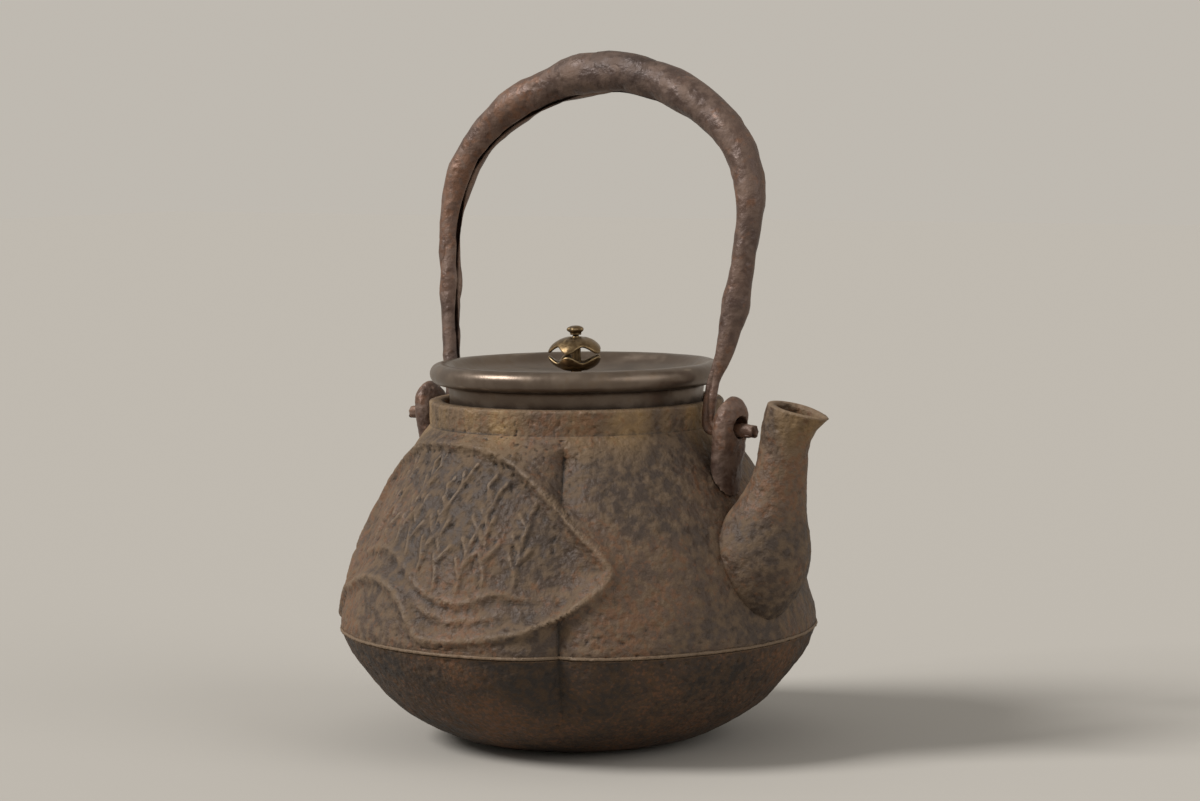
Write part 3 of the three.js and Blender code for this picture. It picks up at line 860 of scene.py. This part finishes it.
# %% [markdown]
# The ears, the bail, the lid and the knob already have their true forms in the frame, only with few
# faces. A copy of each can be joined to four-sided faces and smoothed by subdivision, or remeshed where a
# hole was cut through it, and then gets its own uneven surface. The copies take the originals' places.

# %% Helpers for rounded copies
WELD_DISTANCE = 1e-6
JOIN_ANGLE = math.radians(60)
SMOOTH_FACTOR, SMOOTH_TIMES = 0.5, 8
UNEVEN_INSET = 0.2


def copy_of(node, name):
    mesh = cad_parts[node].data.copy()
    mesh.name = name
    work = bmesh.new()
    work.from_mesh(mesh)
    bmesh.ops.remove_doubles(work, verts=work.verts, dist=WELD_DISTANCE)
    bmesh.ops.join_triangles(work, faces=work.faces, angle_face_threshold=JOIN_ANGLE,
                             angle_shape_threshold=JOIN_ANGLE)
    work.to_mesh(mesh)
    work.free()
    if mesh.has_custom_normals:
        mesh.attributes.remove(mesh.attributes["custom_normal"])
    made = bpy.data.objects.new(name, mesh)
    bpy.context.scene.collection.objects.link(made)
    return made


def apply_modifiers(made):
    graph = bpy.context.evaluated_depsgraph_get()
    mesh = bpy.data.meshes.new_from_object(made.evaluated_get(graph))
    made.modifiers.clear()
    made.data = mesh
    mesh.shade_smooth()


def rounded(node, name, levels):
    made = copy_of(node, name)
    made.modifiers.new("round", "SUBSURF").levels = levels
    apply_modifiers(made)
    return made


def remeshed(node, name, voxel):
    made = copy_of(node, name)
    grid = made.modifiers.new("grid", "REMESH")
    grid.mode = "VOXEL"
    grid.voxel_size = voxel * MM
    soft = made.modifiers.new("soft", "SMOOTH")
    soft.factor = SMOOTH_FACTOR
    soft.iterations = SMOOTH_TIMES
    apply_modifiers(made)
    return made


def uneven(made, size, amount, octaves=3):
    """Move the surface in and out along its normals. Size and amount are in millimetres."""
    count = len(made.data.vertices)
    points, normals = np.zeros(count * 3), np.zeros(count * 3)
    made.data.vertices.foreach_get("co", points)
    made.data.vertices.foreach_get("normal", normals)
    points, normals = points.reshape(-1, 3), normals.reshape(-1, 3)
    push = roughen(points / MM, size, amount, octaves) - UNEVEN_INSET * amount
    points += normals * push[:, None] * MM
    made.data.vertices.foreach_set("co", points.ravel())
    made.data.update()


print("join angle in degrees:", round(math.degrees(JOIN_ANGLE)))

# %% [markdown]
# The two ears are thick lugs with a hole for the bail's hook. Remeshing on a fine grid gives even faces
# round the cut hole, and some smoothing takes off its sharp edge, as years of swinging did.

# %% Ears
EAR_VOXEL = 0.4
EAR_LUMPS, EAR_GRAINS = (5, 0.35), (1.6, 0.08, 2)


def make_ears():
    for node in ("ear_front", "ear_rear"):
        ear = remeshed(node, node + "_skin", EAR_VOXEL)
        uneven(ear, *EAR_LUMPS)
        uneven(ear, *EAR_GRAINS)
        finish_piece(ear, bail_iron, "vessel", "fitting_iron", node)


make_ears()

# %% [markdown]
# The bail is sheet iron rolled into a tube, with an open seam on the inside and solid hooked ends. Hammer
# work leaves it with slow swellings and smaller dents, and so it gets three sizes of unevenness.

# %% Bail
BAIL_LEVELS = 2
BAIL_SWELLINGS, BAIL_DENTS, BAIL_GRAINS = (22, 1.4), (6, 0.25), (1.6, 0.08, 2)


def make_bail():
    bail = rounded("bail", "bail_skin", BAIL_LEVELS)
    uneven(bail, *BAIL_SWELLINGS)
    uneven(bail, *BAIL_DENTS)
    uneven(bail, *BAIL_GRAINS)
    finish_piece(bail, bail_iron, "handle", "fitting_iron", "bail")


make_bail()

# %% [markdown]
# The lid is a bronze plate with a round rim and a dished middle. Three levels of subdivision keep its
# long highlight clean, and the slightest waviness stops it from looking machined.

# %% Lid
LID_LEVELS = 3
LID_WAVES = (16, 0.1)


def make_lid():
    lid = rounded("lid_plate", "lid_skin", LID_LEVELS)
    uneven(lid, *LID_WAVES)
    finish_piece(lid, lid_bronze, "lid", "lid_bronze", "lid_plate")


make_lid()

# %% [markdown]
# The knob is two openwork cups of petals on a pin, with a washer above and below the lid and a small
# finial on top. Each stays a piece of its own, because the knob turns while the washers stay with the
# lid.

# %% Knob, pin and washers
SMALL_PIECES = {"under_lid_washer": "lid", "knob_seat_washer": "lid", "knob_lower_petals": "knob",
                "knob_upper_petals": "knob", "knob_finial": "knob", "knob_pin": "knob"}
KNOB_LEVELS = 2
KNOB_DENTS = (3, 0.03)


def make_small_pieces():
    for node, body in SMALL_PIECES.items():
        small = rounded(node, node + "_skin", KNOB_LEVELS)
        uneven(small, *KNOB_DENTS)
        finish_piece(small, knob_brass, body, "knob_brass", node)


make_small_pieces()
